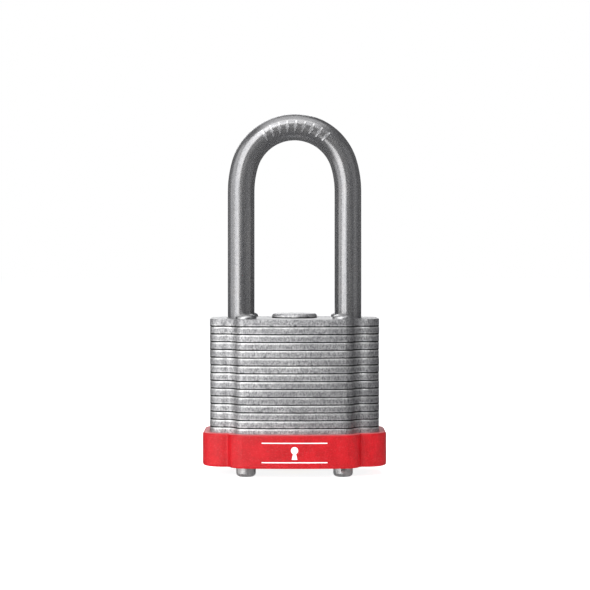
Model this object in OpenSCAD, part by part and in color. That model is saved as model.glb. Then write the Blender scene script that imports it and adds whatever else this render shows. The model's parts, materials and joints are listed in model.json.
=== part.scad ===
// Keyed padlock with a body of riveted steel plates, a round steel shackle and a plastic bumper
// round its base. X runs across the body, -Y is the front and +Z is up. The origin is midway
// between the four rivet feet, on the plane that they stand on. It is drawn closed and unlocked:
// the shackle is down, and the plug is turned a quarter so that both bolts are drawn back.

/* [Body] */
// Width of the plates across their side lobes
body_w = 40; // [39:0.5:48]
// Depth of the plates at the middle of the front and back
body_d = 25; // [24:0.5:30]
// Depth of the plates across their side lobes
lobe_d = 16.8; // [16:0.2:19]
// Width of each stepped-back side, from the end of the crowned front to the lobe's end
lobe_w = 8.2; // [7:0.1:10]
// Thickness of one plate
plate_t = 1.82; // [1.76:0.02:2.2]

/* [Rivets] */
// Spacing of the rivets from side to side
rivet_span_x = 22.8; // [22:0.2:26]
// Spacing of the rivets from front to back
rivet_span_y = 16; // [15.4:0.2:17]
// Diameter of the rivet shanks
rivet_d = 3.4; // [2.8:0.1:3.6]
// Height of the lower rivet heads, which the lock stands on
foot_h = 2.4; // [1.8:0.1:3]

/* [Bumper] */
// Thickness of the bumper's wall outside the plates
bumper_wall = 1.7; // [1.2:0.1:2]
// Height of the bumper
bumper_h = 7.9; // [7.5:0.1:9]

/* [Shackle] */
// Diameter of the shackle's rod
rod_d = 6.4; // [5.3:0.1:7.7]
// Clear width between the legs
shackle_gap = 19.2; // [19.2:0.1:22]
// Clear height between the top plate and the inside of the arch
shackle_clear = 42.5; // [24:0.5:80]
// How far the open toe stands clear of the top plate
toe_clear = 1.62; // [1.3:0.02:1.8]

/* [Cylinder] */
// Diameter of the plug
plug_d = 9.6; // [8:0.1:10]
// Distance of the plug's axis behind the middle of the body
plug_y = 1.2; // [0.8:0.1:1.4]
// Wall of the housing round the plug
housing_wall = 1.3; // [1.1:0.1:1.5]
// Diameter of the pin chambers
chamber_d = 2.9; // [2.4:0.1:3.2]
// Spacing of the pins along the plug
pin_pitch = 4.55; // [3.6:0.05:4.6]
// Travel of each locking bolt over a quarter turn of the plug
bolt_stroke = 1.75; // [1.4:0.05:1.8]

/* [Hidden] */
$fn = 64;
plate_n = 19;
pin_n = 4;
fit = 0.05;          // running clearance on a radius, and between faces that slide
leg_play = 0.1;      // clearance on a radius round the shackle's legs
gap = 0.3;           // air between inner pieces that pass one another
eps = 0.01;          // how far a cutting solid runs past a face

// Levels: the plates are counted from 1 at the bottom, and level(i) is the top of plate i
function level(i) = foot_h + i * plate_t;
body_top = level(plate_n);
first_inset_plate = 2;    // the bumper's inner rib is held round these plates
last_inset_plate = floor(bumper_h / plate_t);    // the last plate that is no higher than it
first_ring_plate = 8;     // the retaining ring travels up inside these plates
last_well_plate = 14;     // the last plate round the lock cylinder and the ring
partition_plate = 15;     // it closes the cylinder's pocket and stops the ring
last_bolt_plate = 17;     // the bolts slide in the plates from here down to the partition

// Outline of the plates
lobe_corner_r = 3.2;
crown_x = body_w / 2 - lobe_w;
crown_drop = 0.6;
shoulder_r = 2.2;
hollow_r = 2.4;
inset = 0.8;
crown_r = (crown_x * crown_x + crown_drop * crown_drop) / (2 * crown_drop);
crown_a = asin(crown_x / crown_r);
crown_c = [0, body_d / 2 - crown_r];
shoulder_c = crown_c + (crown_r - shoulder_r) * [sin(crown_a), cos(crown_a)];
hollow_rise = lobe_d / 2 + hollow_r - shoulder_c.y;
hollow_run = sqrt(pow(shoulder_r + hollow_r, 2) - hollow_rise * hollow_rise);
hollow_c = shoulder_c + [hollow_run, hollow_rise];
hollow_a = atan(hollow_rise / hollow_run);
arc_steps = 7;
coil_steps = 12;          // straight stretches in one turn of a coil
wire_sides = 6;

// Rivets
rivet_r = rivet_d / 2;
rivet_head_r = 2.5;
rivet_head_h = 1.25;
rivet_head_rim = 0.25;
foot_r = 2.3;
foot_round = 0.9;
rivet_places = [[-1, -1], [1, -1], [-1, 1], [1, 1]];

// Boss on the top plate, pushed up out of it by a punch
boss_r = 5.4;
boss_h = 1.1;
boss_recess_r = 5;

// Shackle
rod_r = rod_d / 2;
leg_x = shackle_gap / 2 + rod_r;
apex_z = body_top + shackle_clear + rod_r;
arch_narrowing = 0.45;     // the arch is a little tighter than the legs are wide
arch_r = leg_x - arch_narrowing;
side_cos = 0.96;          // the arcs meet on the slope of a 7-24-25 triangle
side_sin = 0.28;
side_r = (leg_x - arch_r * side_cos) / (1 - side_cos);
arch_z = apex_z - arch_r;
side_z = arch_z + (arch_r - side_r) * side_sin;
arc_reach = 50;           // longer than any arc of the rod is from its centre
toe_play = 0.22;           // room under the closed toe
toe_z = level(last_well_plate) + toe_play;
lift = body_top + toe_clear - toe_z;
heel_play = 0.26;          // how far the heel stays above the spring's well
heel_z = level(first_ring_plate - 1) + heel_play;
toe_chamfer = 0.8;
heel_chamfer = 0.4;
notch_depth = 1.5;
neck_r = rod_r - notch_depth;
ring_t = 0.8;
ring_rim = 1.1;
ring_r = rod_r + ring_rim;
ring_groove_depth = 0.7;
ring_groove_r = rod_r - ring_groove_depth;
stop_play = 0.03;          // air left under the partition when the shackle is fully open
ring_z = level(last_well_plate) - lift - ring_t - stop_play;
ring_slot = 4;
well_r = ring_r + gap;
leg_hole_r = rod_r + leg_play;
spring_well_r = rod_r;
shackle_wire = 0.6;
shackle_coil_r = 2.3;
shackle_coil_turns = 7;

// Lock cylinder
plug_r = plug_d / 2;
face_step = 0.45;          // the shoulder that the bottom plate holds the plug by
face_r = plug_r - face_step;
face_hole_r = face_r + leg_play;
housing_r = plug_r + housing_wall;
housing_z = level(1);
housing_top = level(last_well_plate - 1) - gap;
chamber_r = chamber_d / 2;
pin_r = chamber_r - fit;
bible_wall = 1.75;         // brass beside the pin chambers
bible_r = chamber_r + bible_wall;
front_wall = 1.9;          // steel in front of the housing
bible_front = plug_y + body_d / 2 - front_wall;
cover_t = 0.8;
cover_inset = 1;
cover_r = bible_r - cover_inset;
cover_margin = 0.7;
chamber_end = bible_front - cover_t;
first_pin_depth = 4;
first_pin_z = housing_z + first_pin_depth;
pin_bore_end = 0.4;
key_pin_reach = plug_r - gap;
key_pin_tips = [1.3, 2.1, 0.9, 1.7];    // how far from the plug's axis each key pin ends
key_pin_tip_h = 1;
key_pin_tip_r = 0.5;
driver_start = plug_r + fit / 2;
driver_l = 2.8;
pin_wire = 0.3;
pin_coil_r = 0.95;
pin_coil_turns = 5;
keyway_cuts = [[[-1, -3.2], [1.6, 2.6]], [[-0.4, -1], [1.4, 2.2]], [[-1, 0.8], [1.6, 2.8]]];
rest_turn = 90;
function pin_z(i) = first_pin_z + (i - 1) * pin_pitch;

// Plug tail, its clip, and the tongue that turns the cam
clip_t = 0.75;
clip_space = clip_t + 2 * fit;
clip_groove_depth = 1.2;
clip_groove_r = plug_r - clip_groove_depth;
clip_rim = 0.5;            // how far the clip stays inside the housing's outline
clip_r = housing_r - clip_rim;
clip_slot = 3.2;
tail_r = plug_r - clip_rim;
tail_t = 0.4;
tail_top = housing_top + clip_space + tail_t;
tongue_t = 1.6;
tongue_w = 4.6;
tongue_h = 1.8;

// Cam: its two lobes follow a support that grows evenly with the angle, so the bolts move in
// step with the plug
cam_low = 1.6;
cam_rate = bolt_stroke / (PI / 2);
cam_steps = 12;
cam_corner_r = norm([cam_rate, cam_low + bolt_stroke]);
stem_r = 2.5;
stem_play = 0.2;
stem_z = tail_top + stem_play;
cam_play = 0.1;
cam_z = level(partition_plate) + fit;
cam_top = level(last_bolt_plate) - cam_play;
journal_r = 1.5;
journal_top = level(last_bolt_plate + 1) - cam_play;
function cam_arc(turn) = [for (i = [0:cam_steps])
    let (a = 90 * i / cam_steps, p = cam_low + bolt_stroke * i / cam_steps)
    turn * [p * cos(a) - cam_rate * sin(a), -p * sin(a) - cam_rate * cos(a)]];

// Bolts, placed where they lock the shackle; drawn back they sit bolt_stroke nearer the middle
bolt_z = level(partition_plate) + 2 * fit;   // the bolts pass over the cam's round stem
bolt_top = level(last_bolt_plate) - fit;
bolt_play = 0.15;          // room beside the bolts in their pocket
nose_half = 2;
nose_play = 0.25;          // room round the nose in the leg's notch
nose_tip = leg_x - rod_r + notch_depth - nose_play;
hook_in = cam_low + fit;  // the face that the cam pulls
hook_t = 2;
hook_out = hook_in + hook_t;
hook_reach = 2.4;
arm_inner = cam_corner_r + gap;
arm_w = 2.2;
arm_outer = arm_inner + arm_w;
block_in = hook_out + 2 * bolt_stroke + gap;
block_t = 1.7;
block_out = block_in + block_t;
pocket_end = block_out + bolt_play;
pocket_side = arm_outer + bolt_play;
rivet_wall = 1;
rivet_relief_r = rivet_r + fit + rivet_wall;
notch_z = bolt_z - nose_play;
notch_top = bolt_top + nose_play;
bolt_wire = 0.35;
bolt_coil_r = 0.72;
bolt_coil_turns = 5;
spring_seat = 0.65;        // how far the pocket's end wall rounds in at the springs
bolt_spring_end = pocket_end - spring_seat;

steel = "#b9b9b6";
bright_steel = "#d2d3d4";
dark_steel = "#8d8f92";
brass = "#c9a756";
spring_steel = "#a7abad";
bumper_red = "#d3202f";

function two_digits(i) = i < 10 ? str("0", i) : str(i);
function plate_name(i) =
    i == 1 ? "bottom_plate" : i == plate_n ? "top_plate" : str("body_plate_", two_digits(i));
RIVETS = ["rivet_front_left", "rivet_front_right", "rivet_rear_left", "rivet_rear_right"];

// Points along an arc; a negative sweep runs clockwise
function arc(c, r, from, to) = [for (i = [0:arc_steps])
    let (a = from + (to - from) * i / arc_steps) c + r * [cos(a), sin(a)]];
function rest_of(points) = [for (i = [1:len(points) - 1]) points[i]];
function reversed(points) = [for (i = [len(points) - 1:-1:0]) points[i]];

// A quarter of the plate outline, from the right side to the middle of the back, grown by g
function outline_quarter(g) = concat(
    arc([body_w / 2 - lobe_corner_r, lobe_d / 2 - lobe_corner_r], lobe_corner_r + g, 0, 90),
    arc(hollow_c, hollow_r - g, 270, 180 + hollow_a),
    rest_of(arc(shoulder_c, shoulder_r + g, hollow_a, 90 - crown_a)),
    rest_of(arc(crown_c, crown_r + g, 90 - crown_a, 90))
);

module outline(g = 0) {
    quarter = outline_quarter(g);
    back = concat(quarter, [for (p = rest_of(reversed(quarter))) [-p.x, p.y]]);
    polygon(concat(back, rest_of([for (p = concat([back[0]], back)) -p])));
}

// A straight bore along Z
module bore(x, y, r, from, to) {
    translate([x, y, from - eps]) cylinder(r = r, h = to - from + 2 * eps);
}

module ring(r_out, r_in, z, h, slot) {
    translate([0, 0, z])
        difference() {
            cylinder(r = r_out, h = h);
            translate([0, 0, -eps]) cylinder(r = r_in, h = h + 2 * eps);
            translate([0, -slot / 2, -eps]) cube([2 * r_out, slot, h + 2 * eps]);
        }
}

// A wire coil that stands on z = 0 and is h tall
module coil(h, r, wire, turns) {
    sides = wire_sides;
    rings = turns * coil_steps;
    points = [for (i = [0:rings], j = [0:sides - 1])
        let (a = 360 * i / coil_steps, b = 360 * j / sides)
        let (x = r + wire / 2 * cos(b))
        [x * cos(a), x * sin(a), wire / 2 + (h - wire) * i / rings + wire / 2 * sin(b)]];
    walls = [for (i = [0:rings - 1], j = [0:sides - 1])
        let (p = i * sides + j, q = i * sides + (j + 1) % sides)
        each [[p, q, q + sides], [p, q + sides, p + sides]]];
    start = [for (j = [sides - 1:-1:0]) j];
    end = [for (j = [0:sides - 1]) rings * sides + j];
    polyhedron(points, concat([start], walls, [end]));
}

// Shape of the lock cylinder seen from above, round the plug's axis
module cylinder_outline(grow = 0) {
    circle(r = housing_r + grow);
    translate([-bible_r - grow, -bible_front - grow]) square([2 * (bible_r + grow), bible_front]);
}

module at_plug() {
    translate([0, plug_y, 0]) children();
}

module bolt_pocket() {
    difference() {
        union() {
            translate([-pocket_end, plug_y - pocket_side])
                square([2 * pocket_end, 2 * pocket_side]);
            translate([-leg_x, -nose_half - bolt_play])
                square([2 * leg_x, 2 * (nose_half + bolt_play)]);
        }
        for (p = rivet_places)
            translate([p.x * rivet_span_x / 2, p.y * rivet_span_y / 2]) circle(r = rivet_relief_r);
    }
}

module plate(i) {
    low = level(i - 1);
    high = level(i);
    held = i >= first_inset_plate && i <= last_inset_plate;
    color(steel)
        difference() {
            union() {
                translate([0, 0, low]) linear_extrude(plate_t) outline(held ? -inset : 0);
                if (i == plate_n) translate([0, 0, high - eps]) cylinder(r = boss_r, h = boss_h + eps);
            }
            for (p = rivet_places)
                bore(p.x * rivet_span_x / 2, p.y * rivet_span_y / 2, rivet_r + fit, low, high);
            if (i == 1) bore(0, plug_y, face_hole_r, low, high);
            if (i >= first_inset_plate && i <= last_well_plate)
                at_plug() translate([0, 0, low - eps])
                    linear_extrude(plate_t + 2 * eps) cylinder_outline(fit);
            if (i > last_inset_plate && i < first_ring_plate)
                bore(-leg_x, 0, spring_well_r, low, high);
            if (i >= first_ring_plate && i <= last_well_plate) bore(-leg_x, 0, well_r, low, high);
            if (i >= partition_plate)
                for (side = [-1, 1]) bore(side * leg_x, 0, leg_hole_r, low, high);
            if (i == partition_plate) bore(0, plug_y, stem_r + stem_play, low, high);
            if (i > partition_plate && i <= last_bolt_plate)
                translate([0, 0, low - eps]) linear_extrude(plate_t + 2 * eps) bolt_pocket();
            if (i == last_bolt_plate + 1) bore(0, plug_y, journal_r + fit, low, high);
            if (i == plate_n) bore(0, 0, boss_recess_r, low - 2 * eps, low + boss_h);
        }
}

// Quarter-round points from the rim of a rivet's foot to its flat end
function foot_profile() = [for (i = [0:arc_steps])
    let (a = 90 * i / arc_steps)
    [foot_r - foot_round + foot_round * sin(a), foot_round - foot_round * cos(a)]];
// Points of the domed head, from its rim to its middle
function head_profile() = [for (i = [0:arc_steps])
    let (a = 90 * i / arc_steps)
    [rivet_head_r * cos(a),
     body_top + rivet_head_rim + (rivet_head_h - rivet_head_rim) * sin(a)]];

module rivet(p) {
    color(bright_steel) translate([p.x * rivet_span_x / 2, p.y * rivet_span_y / 2, 0])
        rotate_extrude() polygon(concat(
            [[0, 0]], foot_profile(),
            [[foot_r, foot_h], [rivet_r, foot_h], [rivet_r, body_top], [rivet_head_r, body_top]],
            head_profile()
        ));
}

module bumper() {
    rib_z = level(first_inset_plate - 1);
    rib_top = level(last_inset_plate);
    color(bumper_red)
        difference() {
            translate([0, 0, foot_h]) linear_extrude(bumper_h) outline(bumper_wall);
            translate([0, 0, foot_h - eps]) linear_extrude(plate_t + eps) outline();
            translate([0, 0, rib_z - eps]) linear_extrude(rib_top - rib_z + 2 * eps) outline(-inset);
            translate([0, 0, rib_top]) linear_extrude(bumper_h) outline();
        }
}

// The stretch of a round bend of the rod, in the XZ plane, that lies inside a fan of points
module rod_arc(x, z, r, fan) {
    translate([x, 0, z]) rotate([90, 0, 0])
        intersection() {
            rotate_extrude() translate([r, 0]) circle(r = rod_r);
            linear_extrude(2 * rod_d, center = true) polygon(arc_reach * fan);
        }
}

module leg_groove(r, from, to) {
    translate([-leg_x, 0, from])
        difference() {
            cylinder(r = rod_d, h = to - from);
            translate([0, 0, -eps]) cylinder(r = r, h = to - from + 2 * eps);
        }
}

// The rod's arch, a heel leg that stays in the body and a toe leg that comes out of it
module shackle() {
    color(dark_steel)
        difference() {
            union() {
                rod_arc(0, arch_z, arch_r,
                    [[0, 0], [side_cos, side_sin], [1, 1], [-1, 1], [-side_cos, side_sin]]);
                for (side = [-1, 1])
                    rod_arc(side * (leg_x - side_r), side_z, side_r,
                        side * [[0, 0], [1, 0], [side_cos, side * side_sin]]);
                translate([-leg_x, 0, heel_z]) {
                    cylinder(r1 = rod_r - heel_chamfer, r2 = rod_r, h = heel_chamfer);
                    translate([0, 0, heel_chamfer])
                        cylinder(r = rod_r, h = side_z - heel_z - heel_chamfer);
                }
                translate([leg_x, 0, toe_z]) {
                    cylinder(r1 = rod_r - toe_chamfer, r2 = rod_r, h = toe_chamfer);
                    translate([0, 0, toe_chamfer])
                        cylinder(r = rod_r, h = side_z - toe_z - toe_chamfer);
                }
            }
            leg_groove(ring_groove_r, ring_z - fit, ring_z + ring_t + fit);
            leg_groove(neck_r, notch_z - lift - fit, notch_top - lift + fit);
            translate([0, 0, (notch_z + notch_top) / 2])
                cube([2 * (leg_x - neck_r), 2 * rod_d, notch_top - notch_z], center = true);
        }
}

module shackle_ring() {
    color(spring_steel) translate([-leg_x, 0, 0])
        rotate([0, 0, 180]) ring(ring_r, ring_groove_r + fit, ring_z, ring_t, ring_slot);
}

module shackle_spring() {
    floor_z = level(last_inset_plate);
    color(spring_steel) translate([-leg_x, 0, floor_z + eps])
        coil(heel_z - floor_z - 2 * eps, shackle_coil_r, shackle_wire, shackle_coil_turns);
}

module cylinder_housing() {
    cover_z = pin_z(1) - chamber_r - cover_margin;
    cover_h = pin_z(pin_n) + chamber_r + cover_margin - cover_z;
    color(brass) at_plug()
        difference() {
            translate([0, 0, housing_z])
                linear_extrude(housing_top - housing_z) cylinder_outline();
            bore(0, 0, plug_r + fit, housing_z, housing_top);
            for (i = [1:pin_n])
                translate([0, -plug_r / 2, pin_z(i)]) rotate([90, 0, 0])
                    cylinder(r = chamber_r, h = chamber_end - plug_r / 2 + eps);
            translate([-cover_r, -bible_front - eps, cover_z])
                cube([2 * cover_r, cover_t + eps, cover_h]);
        }
}

module chamber_cover() {
    cover_z = pin_z(1) - chamber_r - cover_margin;
    cover_h = pin_z(pin_n) + chamber_r + cover_margin - cover_z;
    color(brass) at_plug() translate([-cover_r, -bible_front, cover_z])
        cube([2 * cover_r, cover_t, cover_h]);
}

// Wavy slot that the key's blade goes into; the pins reach it from the -Y side
module keyway_outline() {
    for (cut = keyway_cuts) translate(cut[0]) square(cut[1]);
}

module plug() {
    color(brass) at_plug() rotate([0, 0, rest_turn])
        difference() {
            union() {
                translate([0, 0, foot_h + fit]) cylinder(r = face_r, h = plate_t);
                translate([0, 0, housing_z + fit])
                    cylinder(r = plug_r, h = housing_top - housing_z - fit);
                translate([0, 0, housing_top - eps])
                    cylinder(r = clip_groove_r, h = clip_space + 2 * eps);
                translate([0, 0, tail_top - tail_t]) cylinder(r = tail_r, h = tail_t);
                translate([-tongue_w / 2, -tongue_t / 2, tail_top - eps])
                    cube([tongue_w, tongue_t, tongue_h + eps]);
            }
            translate([0, 0, foot_h]) linear_extrude(pin_z(pin_n) + chamber_r - foot_h)
                keyway_outline();
            for (i = [1:pin_n])
                translate([0, -pin_bore_end, pin_z(i)]) rotate([90, 0, 0])
                    cylinder(r = chamber_r, h = plug_r);
        }
}

module plug_clip() {
    color(spring_steel) at_plug() rotate([0, 0, rest_turn])
        ring(clip_r, clip_groove_r + fit, housing_top + fit, clip_t, clip_slot);
}

module cam() {
    color(bright_steel) at_plug() rotate([0, 0, rest_turn])
        difference() {
            union() {
                translate([0, 0, stem_z]) cylinder(r = stem_r, h = cam_z - stem_z + eps);
                translate([0, 0, cam_z]) linear_extrude(cam_top - cam_z)
                    polygon(concat(cam_arc(1), cam_arc(-1)));
                translate([0, 0, cam_top - eps]) cylinder(r = journal_r, h = journal_top - cam_top + eps);
            }
            translate([-2 * stem_r, -tongue_t / 2 - fit, stem_z - eps])
                cube([4 * stem_r, tongue_t + 2 * fit, tail_top + tongue_h + fit - stem_z + eps]);
        }
}

// Pins lie across the plug, along a line that starts at the plug's axis
module along_chamber(i, turn) {
    at_plug() rotate([0, 0, turn]) translate([0, 0, pin_z(i)]) rotate([90, 0, 0]) children();
}

module key_pin(i) {
    tip = key_pin_tips[i - 1];
    color(brass) along_chamber(i, rest_turn) {
        translate([0, 0, tip]) cylinder(r1 = key_pin_tip_r, r2 = pin_r, h = key_pin_tip_h);
        translate([0, 0, tip + key_pin_tip_h])
            cylinder(r = pin_r, h = key_pin_reach - tip - key_pin_tip_h);
    }
}

module driver_pin(i) {
    color(bright_steel) along_chamber(i, 0) translate([0, 0, driver_start])
        cylinder(r = pin_r, h = driver_l);
}

module pin_spring(i) {
    start = driver_start + driver_l + eps;
    color(spring_steel) along_chamber(i, 0) translate([0, 0, start])
        coil(chamber_end - eps - start, pin_coil_r, pin_wire, pin_coil_turns);
}

// One bolt: a nose that enters the leg's notch, a block, and an arm past the cam that ends in
// the hook that the cam pulls. side is 1 on the right, where the arm passes behind the cam.
module bolt(side) {
    far = side > 0 ? plug_y + arm_inner : plug_y - arm_outer;
    block_y = side > 0 ? [-nose_half, plug_y + arm_outer] : [plug_y - arm_outer, nose_half];
    hook_x = side > 0 ? -hook_out : hook_in;
    hook_y = side > 0 ? [plug_y - hook_reach, plug_y + arm_outer]
                      : [plug_y - arm_outer, plug_y + hook_reach];
    block_x = side > 0 ? block_in : -block_out;
    arm_x = side > 0 ? -hook_out : -block_out;
    nose_x = side > 0 ? block_in : -nose_tip;
    color(bright_steel) translate([-side * bolt_stroke, 0, bolt_z])
        linear_extrude(bolt_top - bolt_z)
            difference() {
                union() {
                    translate([nose_x, -nose_half]) square([nose_tip - block_in, 2 * nose_half]);
                    translate([block_x, block_y[0]])
                        square([block_out - block_in, block_y[1] - block_y[0]]);
                    translate([arm_x, far]) square([block_out + hook_out, arm_w]);
                    translate([hook_x, hook_y[0]]) square([hook_out - hook_in, hook_y[1] - hook_y[0]]);
                }
                translate([side * rivet_span_x / 2, side * rivet_span_y / 2])
                    circle(r = rivet_relief_r + bolt_play);
            }
}

module bolt_spring(side) {
    start = hook_out + bolt_stroke + eps;
    y = plug_y + side * (arm_inner + arm_w / 2);
    color(spring_steel) translate([-side * start, y, (bolt_z + bolt_top) / 2])
        rotate([0, -side * 90, 0])
            coil(bolt_spring_end - start, bolt_coil_r, bolt_wire, bolt_coil_turns);
}

for (i = [1:plate_n]) plate(i);
for (k = [0:3]) rivet(rivet_places[k]);
bumper();
shackle();
shackle_ring();
shackle_spring();
cylinder_housing();
chamber_cover();
plug();
plug_clip();
cam();
for (i = [1:pin_n]) key_pin(i);
for (i = [1:pin_n]) driver_pin(i);
for (i = [1:pin_n]) pin_spring(i);
bolt(-1);  // left_bolt
bolt(1);  // right_bolt
bolt_spring(-1);  // left_bolt_spring
bolt_spring(1);  // right_bolt_spring
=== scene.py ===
import json
import math
import random

import bmesh
import bpy
from mathutils import Matrix, Vector


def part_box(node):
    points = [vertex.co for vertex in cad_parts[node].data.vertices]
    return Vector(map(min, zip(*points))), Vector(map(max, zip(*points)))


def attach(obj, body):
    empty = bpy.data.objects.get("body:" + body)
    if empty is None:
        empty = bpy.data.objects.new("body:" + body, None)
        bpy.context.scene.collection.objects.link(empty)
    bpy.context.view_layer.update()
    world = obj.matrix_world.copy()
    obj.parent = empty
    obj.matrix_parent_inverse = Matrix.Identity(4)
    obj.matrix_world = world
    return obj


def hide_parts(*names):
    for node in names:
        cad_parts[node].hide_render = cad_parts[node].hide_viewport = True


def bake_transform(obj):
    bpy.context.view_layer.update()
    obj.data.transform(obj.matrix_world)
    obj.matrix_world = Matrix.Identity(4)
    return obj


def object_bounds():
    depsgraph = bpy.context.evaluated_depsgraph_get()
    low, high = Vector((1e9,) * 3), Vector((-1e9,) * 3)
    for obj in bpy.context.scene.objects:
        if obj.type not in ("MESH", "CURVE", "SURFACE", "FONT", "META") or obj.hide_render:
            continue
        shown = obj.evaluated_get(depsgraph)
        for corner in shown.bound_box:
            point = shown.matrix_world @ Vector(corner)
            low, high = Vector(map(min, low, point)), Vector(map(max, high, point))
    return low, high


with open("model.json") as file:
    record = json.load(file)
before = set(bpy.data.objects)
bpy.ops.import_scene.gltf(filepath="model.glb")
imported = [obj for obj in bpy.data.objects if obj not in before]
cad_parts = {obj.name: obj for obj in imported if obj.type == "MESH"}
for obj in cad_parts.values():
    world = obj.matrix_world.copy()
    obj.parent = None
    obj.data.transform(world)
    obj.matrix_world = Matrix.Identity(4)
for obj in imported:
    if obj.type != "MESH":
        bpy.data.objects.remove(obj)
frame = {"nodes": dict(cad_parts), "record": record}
cad_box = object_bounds()


# ---- Stage -------------------------------------------------------------------------------
# The lock stands on pale paper, which can be seen through from below, in a white room. Its soft
# boxes are a tall one in front on the left, one beside that, one over the front, one overhead
# and two weak ones on the right and behind.

PAPER_R = 4.0
PAPER_SIDES = 96


class Socket:
    """One output of a shader node, so that shader maths reads as Python."""

    def __init__(self, output):
        self.output = output

    def math(self, operation, *values):
        tree = self.output.id_data
        node = tree.nodes.new("ShaderNodeMath")
        node.operation = operation
        for socket, value in zip(node.inputs, values):
            if isinstance(value, Socket):
                tree.links.new(value.output, socket)
            else:
                socket.default_value = value
        return Socket(node.outputs[0])

    def __add__(self, other):
        return self.math("ADD", self, other)

    def __radd__(self, other):
        return self.math("ADD", other, self)

    def __sub__(self, other):
        return self.math("SUBTRACT", self, other)

    def __rsub__(self, other):
        return self.math("SUBTRACT", other, self)

    def __mul__(self, other):
        return self.math("MULTIPLY", self, other)

    def __rmul__(self, other):
        return self.math("MULTIPLY", other, self)

    def __truediv__(self, other):
        return self.math("DIVIDE", self, other)

    def __mod__(self, other):
        return self.math("FLOORED_MODULO", self, other)

    def __abs__(self):
        return self.math("ABSOLUTE", self)

    def floor(self):
        return self.math("FLOOR", self)

    def root(self):
        return self.math("SQRT", self)

    def high_of(self, other):
        return self.math("MAXIMUM", self, other)

    def low_of(self, other):
        return self.math("MINIMUM", self, other)

    def angle_over(self, other):
        """The angle whose tangent is this value over the other."""
        return self.math("ARCTAN2", self, other)


class Nodes:
    """The shader nodes of a material or of the world."""

    def __init__(self, owner):
        owner.use_nodes = True
        self.owner = owner
        self.tree = owner.node_tree

    def node(self, kind, settings=None, inputs=None, output=0):
        """An output of a new node that has its settings and its sockets' values or links."""
        node = self.tree.nodes.new(kind)
        for name, value in (settings or {}).items():
            setattr(node, name, value)
        self.feed(node.name, inputs or {})
        return Socket(node.outputs[output])

    def feed(self, node_name, inputs):
        """Gives a node's sockets their values or links, and colours their alpha of 1."""
        for name, value in inputs.items():
            socket = self.tree.nodes[node_name].inputs[name]
            if isinstance(value, Socket):
                self.tree.links.new(value.output, socket)
            elif socket.type == "RGBA":
                socket.default_value = (*value, 1)
            else:
                socket.default_value = value

    def out_of(self, node_name):
        """The first output of a node that the tree already has."""
        return Socket(self.tree.nodes[node_name].outputs[0])


paper = Nodes(bpy.data.materials.new("pale_paper"))
paper.feed("Principled BSDF", {
    "Base Color": (0.95, 0.95, 0.95), "Roughness": 0.9, "Specular IOR Level": 0.1,
    "Emission Color": (1, 1, 1), "Emission Strength": 0.85})
paper.feed("Material Output", {"Surface": paper.node("ShaderNodeMixShader", inputs={
    "Fac": paper.node("ShaderNodeNewGeometry", output="Backfacing"),
    1: paper.out_of("Principled BSDF"),
    2: paper.node("ShaderNodeBsdfTransparent")})})

floor_mesh = bmesh.new()
bmesh.ops.create_circle(floor_mesh, cap_ends=True, segments=PAPER_SIDES, radius=PAPER_R)
floor_data = bpy.data.meshes.new("paper_floor")
floor_mesh.to_mesh(floor_data)
floor_mesh.free()
floor_data.materials.append(paper.owner)
floor = bpy.data.objects.new("paper_floor", floor_data)
bpy.context.scene.collection.objects.link(floor)
floor.visible_glossy = False

room = Nodes(bpy.data.worlds.new("studio"))
bpy.context.scene.world = room.owner
room.feed("Background", {"Color": (0.95, 0.96, 1.0), "Strength": 0.17})
room.feed("World Output", {"Surface": room.node("ShaderNodeMixShader", inputs={
    "Fac": room.node("ShaderNodeLightPath", output="Is Camera Ray"),
    1: room.out_of("Background"),
    2: room.node("ShaderNodeBackground", inputs={"Color": (1, 1, 1)})})})
bpy.context.scene.view_settings.view_transform = "Standard"

middle = (cad_box[0] + cad_box[1]) / 2


def soft_box(name, azimuth, elevation, distance, size, power):
    """A soft box that faces the lock, in degrees, metres and watts.

    Azimuth 0 is in front of the lock and 90 on its right.
    """
    light = bpy.data.lights.new(name, "AREA")
    light.shape = "RECTANGLE"
    light.size, light.size_y = size
    light.energy = power
    lamp = bpy.data.objects.new(name, light)
    turn = math.radians(azimuth)
    rise = math.radians(elevation)
    lamp.location = middle + distance * Vector(
        (math.sin(turn) * math.cos(rise), -math.cos(turn) * math.cos(rise), math.sin(rise)))
    lamp.rotation_euler = (middle - lamp.location).to_track_quat("-Z", "Y").to_euler()
    bpy.context.scene.collection.objects.link(lamp)


soft_box("front_left_box", azimuth=-34, elevation=14, distance=0.62, size=(0.50, 0.80), power=3.9)
soft_box("left_box", azimuth=-80, elevation=10, distance=0.62, size=(0.44, 0.70), power=1.1)
soft_box("right_box", azimuth=66, elevation=12, distance=0.70, size=(0.56, 0.60), power=0.22)
soft_box("front_top_box", azimuth=-8, elevation=50, distance=0.70, size=(0.60, 0.44), power=2.1)
soft_box("top_box", azimuth=-10, elevation=86, distance=0.70, size=(0.80, 0.50), power=1.6)
soft_box("back_box", azimuth=-168, elevation=34, distance=0.62, size=(0.40, 0.40), power=1.2)

camera_data = bpy.data.cameras.new("camera")
camera_data.lens = 101.8
camera_data.clip_start = 0.01
camera_data.shift_y = -0.0593
camera_data.shift_x = 0.0008
camera = bpy.data.objects.new("camera", camera_data)
camera.location = (0, -0.4, 0.0508)
camera.rotation_euler = (math.radians(90), 0, 0)
bpy.context.scene.collection.objects.link(camera)
bpy.context.scene.camera = camera


# ---- Steel plates ------------------------------------------------------------------------
# Nineteen stamped and zinc-plated steel plates, stacked and riveted. The punch rolls the
# upper edge of each rim over and shears a bright band below it. Then the steel breaks, which
# leaves a grainy band with small burrs down to the lower edge. The bright band's colour is
# partly a painted highlight, the burrs get a painted highlight, and the seams between the
# plates are painted near black as painted shade.

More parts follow.
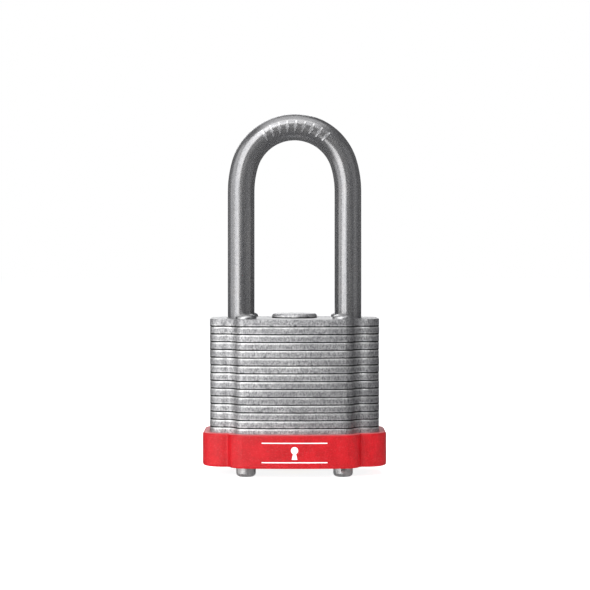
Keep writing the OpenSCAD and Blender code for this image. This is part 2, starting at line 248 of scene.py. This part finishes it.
MM = 0.001
PLATES = ["bottom_plate"] + [f"body_plate_{i:02d}" for i in range(2, 19)] + ["top_plate"]
MERGE = 0.001 * MM
EDGE_ROLL = 0.20 * MM
LOWER_EDGE = 0.10 * MM
HOLE_EDGE = 0.30 * MM
PLATE_SHIFT = 0.03 * MM
BOSS_ROLL = 0.75 * MM


class Finish(Nodes):
    """A procedural material on one Principled shader, patterned on Object coordinates."""

    def __init__(self, name):
        super().__init__(bpy.data.materials.new(name))

    def point(self):
        return self.node("ShaderNodeTexCoord", output="Object")

    def facing_up(self):
        """1 where the surface faces up, -1 where it faces down."""
        return self.parts(self.node("ShaderNodeTexCoord", output="Normal"))[2]

    def parts(self, vector):
        split = self.node("ShaderNodeSeparateXYZ", inputs={"Vector": vector}).output.node
        return [Socket(output) for output in split.outputs]

    def join(self, x, y, z):
        return self.node("ShaderNodeCombineXYZ", inputs={"X": x, "Y": y, "Z": z})

    def noise(self, size, detail=3.0, rough=0.55, stretch=(1, 1, 1), at=None):
        """Noise from 0 to 1 whose lumps are about size millimetres wide."""
        spot = self.node("ShaderNodeMapping", inputs={
            "Vector": at or self.point(), "Scale": tuple(1 / (size * MM * s) for s in stretch)})
        return self.node("ShaderNodeTexNoise", {"noise_dimensions": "3D"}, {
            "Vector": spot, "Scale": 1.0, "Detail": detail, "Roughness": rough})

    def step(self, value, low, high, to_low=0.0, to_high=1.0):
        """A smooth step of value from low to high."""
        return self.node("ShaderNodeMapRange", {"interpolation_type": "SMOOTHSTEP"}, {
            "Value": value, "From Min": low, "From Max": high, "To Min": to_low, "To Max": to_high})

    def band(self, value, low, high, soft):
        """1 between low and high, with edges that fade over soft."""
        return self.step(value, low - soft, low) * self.step(value, high, high + soft, 1.0, 0.0)

    def mix(self, share, first, second):
        """The first colour, with the given share of the second one mixed in."""
        return self.node("ShaderNodeMix", {"data_type": "RGBA"}, {
            "Factor": share, "A": first, "B": second}, "Result")

    def bump(self, height, depth):
        """A bump whose height from 0 to 1 stands for depth millimetres."""
        return self.node("ShaderNodeBump", inputs={
            "Height": height, "Distance": depth * MM, "Strength": 1.0})

    def done(self, **inputs):
        """The material, once its shader's own sockets have their values or links."""
        self.feed("Principled BSDF", {name.replace("_", " "): inputs[name] for name in inputs})
        return self.owner


def merged_copy(node):
    """A mesh of the CAD node with its loose triangles joined and its flat faces whole."""
    mesh = bmesh.new()
    mesh.from_mesh(frame["nodes"][node].data)
    bmesh.ops.remove_doubles(mesh, verts=mesh.verts, dist=MERGE)
    bmesh.ops.dissolve_limit(mesh, angle_limit=math.radians(0.3), verts=mesh.verts,
                             edges=mesh.edges, use_dissolve_boundaries=False)
    mesh.normal_update()
    return mesh


def loops_at(mesh, z):
    """The closed loops of sharp edges at height z, the one that reaches furthest first."""
    left = {e: None for e in mesh.edges
            if all(abs(v.co.z - z) < 2 * MERGE for v in e.verts)
            and any(abs(f.normal.z) < 0.5 for f in e.link_faces)}
    loops = []
    while left:
        loop = [next(iter(left))]
        del left[loop[0]]
        for edge in loop:
            for beside in [e for v in edge.verts for e in v.link_edges]:
                if beside in left:
                    del left[beside]
                    loop.append(beside)
        loops.append(loop)
    return sorted(loops, key=lambda loop: -max(abs(v.co.x) for e in loop for v in e.verts))


def round_edges(mesh, edges, radius, segments):
    """Rounds the edges of a mesh, as tumbling or a die does."""
    bmesh.ops.bevel(mesh, geom=edges, offset=radius, segments=segments, profile=0.5,
                    affect="EDGES", material=-1, clamp_overlap=True)
    mesh.normal_update()


def finished(mesh, name, body, material, nodes=(), sharp=38):
    """Makes a finished mesh a piece that rides on a body and stands for CAD nodes."""
    data = bpy.data.meshes.new(name)
    mesh.to_mesh(data)
    mesh.free()
    data.shade_smooth()
    data.set_sharp_from_angle(angle=math.radians(sharp))
    data.materials.append(material)
    piece = bpy.data.objects.new(name, data)
    bpy.context.scene.collection.objects.link(piece)
    even = piece.modifiers.new("even_shading", "WEIGHTED_NORMAL")
    even.keep_sharp = True
    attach(piece, body)
    if nodes:
        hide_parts(*nodes)
    return piece


def plate_steel(foot, pitch):
    """Zinc-plated steel plates, the lowest of which starts at foot.

    Level runs from 0 to 1 up each plate's rim. The seams are painted near black, a painted
    shade in the gaps between the plates. The rims have the bright roll, partly burnished and
    partly a painted highlight, and the grainy break, whose burrs get a painted highlight.
    The flat faces have the grain of rolled sheet.
    """
    finish = Finish("zinc_plated_steel")
    _, _, z = finish.parts(finish.point())
    flat = finish.step(abs(finish.facing_up()), 0.80, 0.98)
    rim = 1 - flat
    waver = finish.noise(1.3, 3.0, 0.6)
    height = (z - foot) / pitch
    level = height % 1.0
    plate = finish.node("ShaderNodeTexWhiteNoise", {"noise_dimensions": "1D"}, {
        "W": height.floor()})
    grain = finish.noise(0.40, 5.0, 0.80, (1.0, 1.0, 1.6))
    fine = finish.noise(0.13, 3.0, 0.6)
    drag = finish.noise(0.22, 3.0, 0.6, (1, 1, 16))
    # The band under each rim's upper edge is painted near white: partly the burnished band of the
    # shear, partly a painted highlight of the rolled edge.
    burnish_and_highlight = finish.band(level + 0.12 * (waver - 0.5), 0.80, 0.95, 0.08)
    burnish_and_highlight = burnish_and_highlight * finish.step(height, len(PLATES) - 0.4, len(PLATES) - 0.3, 1.0, 0.0)
    # The band with burrs near each rim's lower edge is painted lighter, a painted highlight of the
    # burrs catching light.
    burr_highlight = finish.band(level + 0.05 * (waver - 0.5), 0.10, 0.24, 0.06) * finish.step(waver, 0.40, 0.60)
    tone = finish.mix(finish.step(grain, 0.36, 0.64), (0.22, 0.22, 0.23), (0.74, 0.735, 0.74))
    tone = finish.mix(0.35 * finish.step(drag, 0.45, 0.70), tone, (0.70, 0.70, 0.70))
    # This grain mask breaks up the painted highlight on that band.
    burnish_and_highlight_breakup = finish.step(waver, 0.25, 0.55, 0.6, 1.0) * finish.step(grain, 0.32, 0.60, 0.55, 1.0)
    tone = finish.mix(0.9 * burnish_and_highlight * burnish_and_highlight_breakup, tone, (0.97, 0.97, 0.96))
    tone = finish.mix(0.65 * burr_highlight, tone, (0.90, 0.90, 0.89))
    rolled = finish.noise(0.20, 4.0, 0.7, (22, 1, 1))
    scratch = finish.step(finish.noise(0.35, 2.0, 0.5, (1.2, 24, 1)), 0.66, 0.72)
    sheet = finish.mix(finish.noise(1.8, 5.0, 0.65), (0.34, 0.345, 0.355), (0.60, 0.60, 0.60))
    sheet = finish.mix(0.45 * finish.step(rolled, 0.40, 0.66), sheet, (0.66, 0.66, 0.66))
    sheet = finish.mix(0.5 * scratch, sheet, (0.20, 0.20, 0.20))
    tone = finish.mix(flat, tone, sheet)
    tone = finish.mix(0.18 * plate, tone, (0.30, 0.30, 0.305))
    dull = finish.noise(5.0, 3.0)
    tone = finish.mix(0.35 * finish.step(dull, 0.40, 0.68), tone, (0.24, 0.24, 0.25))
    # The seams at both ends of each rim are painted near black, a painted shade in the gaps between
    # the plates.
    ragged = level + 0.12 * (grain - 0.5)
    seam_shade = finish.step(ragged, 0.11, 0.17, 1.0, 0.0).high_of(finish.step(ragged, 0.95, 0.98)) * rim
    tone = finish.mix(0.93 * seam_shade, tone, (0.02, 0.02, 0.02))
    rough = 0.40 + 0.16 * grain * rim + 0.10 * fine - 0.10 * burnish_and_highlight - 0.12 * flat * rolled
    relief = rim * (0.75 * grain + 0.3 * fine + 0.35 * drag) + flat * (0.2 * fine + 0.35 * rolled)
    return finish.done(Base_Color=tone, Metallic=1.0, Roughness=rough,
                       Normal=finish.bump(relief, 0.085))


foot_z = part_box("bottom_plate")[0].z
plate_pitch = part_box("bottom_plate")[1].z - foot_z
top_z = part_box("body_plate_18")[1].z + plate_pitch
zinc = plate_steel(foot_z, plate_pitch)
chance = random.Random(19)
for number, plate_node in enumerate(PLATES):
    plate = merged_copy(plate_node)
    low_z = foot_z + number * plate_pitch
    round_edges(plate, loops_at(plate, low_z + plate_pitch)[0],
                EDGE_ROLL * chance.uniform(0.8, 1.2), segments=4)
    round_edges(plate, loops_at(plate, low_z)[0], LOWER_EDGE, segments=2)
    if plate_node == "top_plate":
        boss_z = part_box(plate_node)[1].z
        round_edges(plate, loops_at(plate, boss_z)[0], BOSS_ROLL, segments=6)
        for hole in loops_at(plate, top_z)[:2]:
            round_edges(plate, hole, HOLE_EDGE, segments=3)
    if plate_node == "bottom_plate":
        for hole in loops_at(plate, foot_z):
            round_edges(plate, hole, LOWER_EDGE, segments=2)
    # The stack is never quite even.
    shift = (chance.uniform(-1, 1) * PLATE_SHIFT, chance.uniform(-1, 1) * PLATE_SHIFT, 0)
    bmesh.ops.translate(plate, verts=plate.verts, vec=shift)
    finished(plate, f"{plate_node}_stamping", "lock_body", zinc, [plate_node])


# ---- Rivets ------------------------------------------------------------------------------
# Four zinc-plated steel rivets hold the stack. Each has a low domed head on top, closed with
# a snap tool, and a rounded foot that the lock stands on.

FOOT_FADE = 0.6 * MM
RIVETS = ["rivet_front_left", "rivet_front_right", "rivet_rear_left", "rivet_rear_right"]


def rivet_steel():
    """Bright zinc on the rivets, scuffed in places, with a painted floor reflection low on the feet.
    """
    finish = Finish("bright_zinc")
    fine = finish.noise(0.16, 4.0, 0.6)
    blotch = finish.noise(0.9, 3.0)
    scuff = finish.noise(0.5, 4.0, 0.7, (3.0, 0.5, 1.0))
    _, _, z = finish.parts(finish.point())
    # The lowest part of each foot is painted paler and less metallic, a painted reflection of the pale
    # floor.
    foot = finish.step(z, foot_z, foot_z + FOOT_FADE, 1.0, 0.0)
    tone = finish.mix(finish.step(blotch, 0.3, 0.7), (0.30, 0.30, 0.31), (0.52, 0.52, 0.52))
    tone = finish.mix(0.5 * finish.step(scuff, 0.56, 0.70), tone, (0.20, 0.20, 0.20))
    tone = finish.mix(0.3 * foot, tone, (0.70, 0.70, 0.68))
    rough = 0.24 + 0.18 * blotch + 0.08 * fine
    return finish.done(Base_Color=tone, Metallic=1 - 0.25 * foot, Roughness=rough,
                       Normal=finish.bump(0.4 * fine + 0.9 * blotch, 0.09))


bright_zinc = rivet_steel()
for rivet_node in RIVETS:
    rivet = merged_copy(rivet_node)
    finished(rivet, f"{rivet_node}_turned", "lock_body", bright_zinc, [rivet_node],
             sharp=50)


# ---- Bumper ------------------------------------------------------------------------------
# A guard of red plastic, moulded in one piece with fine-grained walls and rounded rims, and
# snapped over the lowest plates. Its front has a white print: a keyhole between two lines.

BUMPER_RIM = 0.55 * MM
BUMPER_INNER_RIM = 0.25 * MM
RIM_FADE = 0.5 * MM
PRINT_FRONT = -10 * MM
PRINT_FADE = 0.1 * MM
PRINT_Z = 6.15 * MM
PRINT_EDGE = 0.03 * MM
LINE_HALF = 7.6 * MM
LINE_Z = 2.25 * MM
LINE_T = 0.10 * MM
EYE_R = 0.82 * MM
EYE_UP = 0.55 * MM
SKIRT_UP = -0.6 * MM
SKIRT_HALF_H = 0.95 * MM
SKIRT_HALF_W = 0.294 * MM
SKIRT_SLOPE = 0.22


def bumper_plastic():
    """Red plastic with a fine moulded grain, a painted highlight on the upper rim and the white print.
    """
    finish = Finish("moulded_red_plastic")
    x, y, z = finish.parts(finish.point())
    grain = finish.noise(0.22, 4.0, 0.7)
    cloud = finish.noise(2.6, 4.0, 0.6)
    speck = finish.noise(0.45, 3.0, 0.6)
    tone = finish.mix(finish.step(cloud, 0.35, 0.70), (0.37, 0.001, 0.004), (0.47, 0.001, 0.006))
    tone = finish.mix(0.6 * finish.step(grain, 0.46, 0.66), tone, (0.62, 0.008, 0.020))
    tone = finish.mix(0.12 * finish.step(speck, 0.55, 0.72), tone, (0.70, 0.13, 0.15))
    # Up-facing faces at the top rim are painted pale pink, a painted highlight of the light from
    # above.
    rim_low = bumper_high.z - RIM_FADE
    rim = finish.step(finish.facing_up(), 0.45, 0.95) * finish.step(z, rim_low, bumper_high.z)
    tone = finish.mix(0.30 * rim, tone, (0.86, 0.36, 0.38))
    up = z - PRINT_Z
    front = finish.step(y, PRINT_FRONT, PRINT_FRONT + PRINT_FADE, 1.0, 0.0)

    def inked(distance, reach):
        return finish.step(distance, reach, reach + PRINT_EDGE, 1.0, 0.0)

    across = abs(x)
    lines = inked(across, LINE_HALF) * inked(abs(abs(up) - LINE_Z), LINE_T)
    eye_up = up - EYE_UP
    eye = inked((x * x + eye_up * eye_up).root(), EYE_R)
    skirt_edge = across + SKIRT_SLOPE * up
    skirt = inked(skirt_edge, SKIRT_HALF_W) * inked(abs(up - SKIRT_UP), SKIRT_HALF_H)
    ink = front * lines.high_of(eye).high_of(skirt)
    tone = finish.mix(ink * (0.90 + 0.10 * grain), tone, (0.93, 0.93, 0.92))
    rough = 0.22 + 0.18 * grain + 0.06 * cloud
    return finish.done(Base_Color=tone, Roughness=rough, Specular_IOR_Level=0.34,
                       Normal=finish.bump(0.8 * grain + 0.5 * cloud, 0.07))


bumper_low, bumper_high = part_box("bumper")
bumper = merged_copy("bumper")
for rim_z in (bumper_low.z, bumper_high.z):
    round_edges(bumper, loops_at(bumper, rim_z)[0], BUMPER_RIM, segments=5)
    round_edges(bumper, loops_at(bumper, rim_z)[-1], BUMPER_INNER_RIM, segments=3)
finished(bumper, "bumper_moulding", "lock_body", bumper_plastic(), ["bumper"])


# ---- Shackle -----------------------------------------------------------------------------
# One bent rod of hardened steel, ground along its length and plated. The toe is rounded, the
# legs have notches for the bolts, and the front of the arch has a row of small raised marks.

ROD_R = 3.2 * MM
ARCH_R = 12.35 * MM
ARCH_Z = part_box("shackle")[1].z - ROD_R - ARCH_R
MARKS = 9
MARK_FIRST = math.radians(-35)
MARK_LAST = math.radians(37)
MARK_W = 0.95 * MM
MARK_L = 2.5 * MM
MARK_H = 0.85 * MM
MARK_FLAT = 0.8
MARK_SLANT = 0.16
MARK_TAPER = 0.9
MARK_TOP = 0.65


def shackle_finish(name, dark, light):
    """Plated steel whose grinding lines follow the rod up one leg, round and down the other."""
    finish = Finish(name)
    x, y, z = finish.parts(finish.point())
    above = (z - ARCH_Z).high_of(0.0)
    out = abs(x)
    radius = (out * out + above * above).root()
    along = z.low_of(ARCH_Z) + ARCH_R * above.angle_over(out)
    rod = finish.join(radius, y, along)
    lines = finish.noise(0.22, 3.0, 0.6, (1, 1, 26), rod)
    streak = finish.noise(0.7, 3.0, 0.55, (1, 1, 40), rod)
    grain = finish.noise(0.36, 4.0, 0.70, (1, 1, 1.5), rod)
    cloud = finish.noise(3.2, 3.0)
    tone = finish.mix(finish.step(grain, 0.34, 0.68), dark, light)
    tone = finish.mix(0.40 * finish.step(streak, 0.42, 0.62), tone, (0.38, 0.375, 0.37))
    tone = finish.mix(0.20 * finish.step(cloud, 0.45, 0.75), tone, (0.28, 0.26, 0.25))
    rough = 0.19 + 0.10 * grain + 0.05 * streak
    return finish.done(Base_Color=tone, Metallic=0.84, Roughness=rough,
                       Normal=finish.bump(0.70 * grain + 0.30 * lines + 0.30 * streak, 0.012))


satin = shackle_finish("satin_steel", (0.195, 0.195, 0.202), (0.275, 0.275, 0.282))
# The raised marks get a much lighter copy of the shackle steel, a painted highlight on the marks.
highlit_satin = shackle_finish("worn_satin_steel", (0.52, 0.52, 0.53), (0.70, 0.70, 0.71))
shackle = merged_copy("shackle")
finished(shackle, "shackle_rod", "shackle", satin, ["shackle"], sharp=30)

marks = bmesh.new()
for count in range(MARKS):
    turn = MARK_FIRST + (MARK_LAST - MARK_FIRST) * count / (MARKS - 1)
    earlier = len(marks.verts)
    mark = bmesh.ops.create_cube(marks, size=1.0)["verts"]
    bmesh.ops.scale(marks, verts=mark, vec=(MARK_W, MARK_L, MARK_H))
    sides = list(dict.fromkeys(e for v in mark for e in v.link_edges))
    bmesh.ops.subdivide_edges(marks, edges=sides, cuts=3, use_grid_fill=True)
    for vert in list(marks.verts)[earlier:]:
        spread = 1 - MARK_TAPER * abs(vert.co.y) / MARK_L
        width = vert.co.x * spread * (MARK_TOP if vert.co.z > 0 else 1.0)
        reach = turn + (width + MARK_SLANT * vert.co.y) / ARCH_R
        swing = vert.co.y / ROD_R
        rise = ROD_R + vert.co.z * MARK_FLAT
        radius = ARCH_R + rise * math.sin(swing)
        vert.co = (radius * math.sin(reach), -rise * math.cos(swing),
                   ARCH_Z + radius * math.cos(reach))
bmesh.ops.recalc_face_normals(marks, faces=marks.faces)
finished(marks, "shackle_marks", "shackle", highlit_satin, sharp=30)


# ---- Lock cylinder -----------------------------------------------------------------------
# The housing, the strip that closes its pin chambers, the plug and the key pins are turned
# and milled from brass. The plug's face shows in the bottom plate, round the keyway.

BODY_OF = {node: body for body, nodes in frame["record"]["behaviour"]["bodies"].items()
           for node in nodes}
MACHINED_EDGE = 0.08 * MM
PIN_CLEARANCE = 0.02 * MM


def machined(node, material, edge=MACHINED_EDGE, sharp=40, shift=(0, 0, 0)):
    """A piece with the CAD node's shape, whose sharp edges are broken by edge."""
    mesh = merged_copy(node)
    bmesh.ops.translate(mesh, verts=mesh.verts, vec=shift)
    corners = [e for e in mesh.edges if e.is_manifold and e.is_convex
               and e.calc_face_angle() > math.radians(50)]
    round_edges(mesh, corners, edge, segments=2)
    bmesh.ops.remove_doubles(mesh, verts=mesh.verts, dist=MERGE)
    return finished(mesh, f"{node}_machined", BODY_OF[node], material, [node], sharp)


def machined_brass(name, axis):
    """Brass that was turned about an axis: rings on the flat ends, drawn lines on the sides."""
    finish = Finish(name)
    x, y, _ = finish.parts(finish.point())
    off_x = x - axis.x
    off_y = y - axis.y
    radius = (off_x * off_x + off_y * off_y).root()
    flat = finish.step(abs(finish.facing_up()), 0.7, 0.95)
    ring = finish.noise(0.20, 3.0, 0.6, at=finish.join(radius, 0.0, 0.0))
    drawn = finish.noise(0.25, 3.0, 0.6, (1, 1, 30))
    tarnish = finish.noise(2.0, 4.0, 0.6)
    grain = finish.noise(0.2, 3.0)
    tone = finish.mix(finish.step(tarnish, 0.35, 0.7), (0.74, 0.53, 0.20), (0.56, 0.38, 0.14))
    lines = ring * flat + drawn * (1 - flat)
    tone = finish.mix(0.35 * finish.step(lines, 0.45, 0.7), tone, (0.86, 0.68, 0.34))
    rough = 0.26 + 0.14 * lines + 0.10 * tarnish
    return finish.done(Base_Color=tone, Metallic=1.0, Roughness=rough,
                       Normal=finish.bump(0.7 * lines + 0.3 * grain, 0.03))


plug_low, plug_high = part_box("plug")
brass = machined_brass("machined_brass", (plug_low + plug_high) / 2)
for brass_node in ("cylinder_housing", "chamber_cover", "plug"):
    machined(brass_node, brass)
for number in range(1, 5):
    machined(f"key_pin_{number}", brass, shift=(PIN_CLEARANCE, 0, 0))


# ---- Cam, bolts and driver pins ----------------------------------------------------------
# Small steel pieces, zinc-plated. The cam and the bolts are cut from plate and tumbled, and
# the driver pins are turned.


def tumbled_steel():
    """Zinc-plated steel, worn even and a little clouded by tumbling."""
    finish = Finish("tumbled_steel")
    grain = finish.noise(0.25, 4.0, 0.7)
    scuff = finish.noise(0.5, 3.0, 0.6, (6, 0.6, 1.5))
    cloud = finish.noise(1.8, 3.0)
    tone = finish.mix(finish.step(grain, 0.3, 0.7), (0.46, 0.46, 0.47), (0.66, 0.66, 0.66))
    tone = finish.mix(0.4 * finish.step(cloud, 0.45, 0.7), tone, (0.50, 0.47, 0.42))
    rough = 0.30 + 0.18 * grain + 0.10 * scuff
    return finish.done(Base_Color=tone, Metallic=1.0, Roughness=rough,
                       Normal=finish.bump(0.6 * grain + 0.5 * scuff, 0.035))


tumbled = tumbled_steel()
for steel_node in ["cam", "left_bolt", "right_bolt"] + [f"driver_pin_{i}" for i in range(1, 5)]:
    machined(steel_node, tumbled)


# ---- Retaining rings and springs ---------------------------------------------------------
# Rings stamped from spring steel sit in grooves of the heel leg and of the plug. The springs
# are wound from drawn wire, with closed coils at both ends.

WIRE_SIDES = 10
TURN_STEPS = 28
CLOSED_TURNS = 0.85
CLOSED_PITCH = 1.04
SHACKLE_WIRE = 0.60 * MM
SHACKLE_TURNS = 7
PIN_WIRE = 0.30 * MM
BOLT_WIRE = 0.35 * MM
SMALL_TURNS = 5


def spring_wire():
    """Drawn spring steel with fine die lines."""
    finish = Finish("drawn_spring_steel")
    fine = finish.noise(0.09, 3.0, 0.6)
    cloud = finish.noise(0.8, 3.0)
    tone = finish.mix(finish.step(cloud, 0.35, 0.7), (0.48, 0.49, 0.50), (0.62, 0.61, 0.59))
    tone = finish.mix(0.4 * finish.step(fine, 0.5, 0.7), tone, (0.36, 0.35, 0.34))
    rough = 0.24 + 0.16 * fine + 0.08 * cloud
    return finish.done(Base_Color=tone, Metallic=1.0, Roughness=rough,
                       Normal=finish.bump(fine, 0.012))


drawn_wire = spring_wire()
for ring_node in ("shackle_ring", "plug_clip"):
    machined(ring_node, drawn_wire)


def wound_spring(node, wire, turns, foot, tip):
    """A spring wound from foot to tip."""
    low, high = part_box(node)
    line = tip - foot
    span = sorted(high - low)
    coil_r = (span[1] if line.length < span[1] else span[0]) / 2 - wire / 2
    closed = wire * CLOSED_PITCH
    active = turns - 2 * CLOSED_TURNS
    pitch = (line.length - wire - 2 * CLOSED_TURNS * closed) / active
    mesh = bmesh.new()
    bmesh.ops.create_circle(mesh, segments=WIRE_SIDES, radius=wire / 2)
    bmesh.ops.rotate(mesh, verts=mesh.verts, matrix=Matrix.Rotation(math.pi / 2, 3, "X"))
    bmesh.ops.translate(mesh, verts=mesh.verts, vec=(coil_r, 0, wire / 2))
    end = list(mesh.verts) + list(mesh.edges)
    for stretch, rise in ((CLOSED_TURNS, closed), (active, pitch), (CLOSED_TURNS, closed)):
        steps = round(stretch * TURN_STEPS)
        end = bmesh.ops.spin(mesh, geom=end, cent=(0, 0, 0), axis=(0, 0, 1),
                             dvec=(0, 0, rise * stretch / steps), angle=2 * math.pi * stretch,
                             steps=steps, use_merge=False)["geom_last"]
        end = [g for g in end if not isinstance(g, bmesh.types.BMFace)]
    bmesh.ops.remove_doubles(mesh, verts=mesh.verts, dist=MERGE / 2)
    bmesh.ops.holes_fill(mesh, edges=[e for e in mesh.edges if e.is_boundary], sides=WIRE_SIDES)
    bmesh.ops.recalc_face_normals(mesh, faces=mesh.faces)
    bmesh.ops.rotate(mesh, verts=mesh.verts,
                     matrix=line.to_track_quat("Z", "Y").to_matrix())
    bmesh.ops.translate(mesh, verts=mesh.verts, vec=foot)
    data = bpy.data.meshes.new(f"{node}_wound")
    mesh.to_mesh(data)
    mesh.free()
    data.shade_smooth()
    data.set_sharp_from_angle(angle=math.radians(50))
    data.materials.append(drawn_wire)
    spring = bpy.data.objects.new(f"{node}_wound", data)
    bpy.context.scene.collection.objects.link(spring)
    still = line.normalized() * (wire + CLOSED_TURNS * closed)
    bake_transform(spring)
    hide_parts(node)


def ends_along(node, axis):
    """The middles of the two end faces of a node's box along an axis, the lower first."""
    low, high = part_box(node)
    foot = (low + high) / 2
    tip = foot.copy()
    foot[axis] = low[axis]
    tip[axis] = high[axis]
    return foot, tip


heel_foot, heel_tip = ends_along("shackle_spring", 2)
wound_spring("shackle_spring", SHACKLE_WIRE, SHACKLE_TURNS, heel_foot, heel_tip)
for number in range(1, 5):
    cover_end, pin_end = ends_along(f"pin_spring_{number}", 1)
    wound_spring(f"pin_spring_{number}", PIN_WIRE, SMALL_TURNS, cover_end, pin_end)
left_inner, left_outer = ends_along("left_bolt_spring", 0)
wound_spring("left_bolt_spring", BOLT_WIRE, SMALL_TURNS, left_outer, left_inner)
right_outer, right_inner = ends_along("right_bolt_spring", 0)
wound_spring("right_bolt_spring", BOLT_WIRE, SMALL_TURNS, right_outer, right_inner)
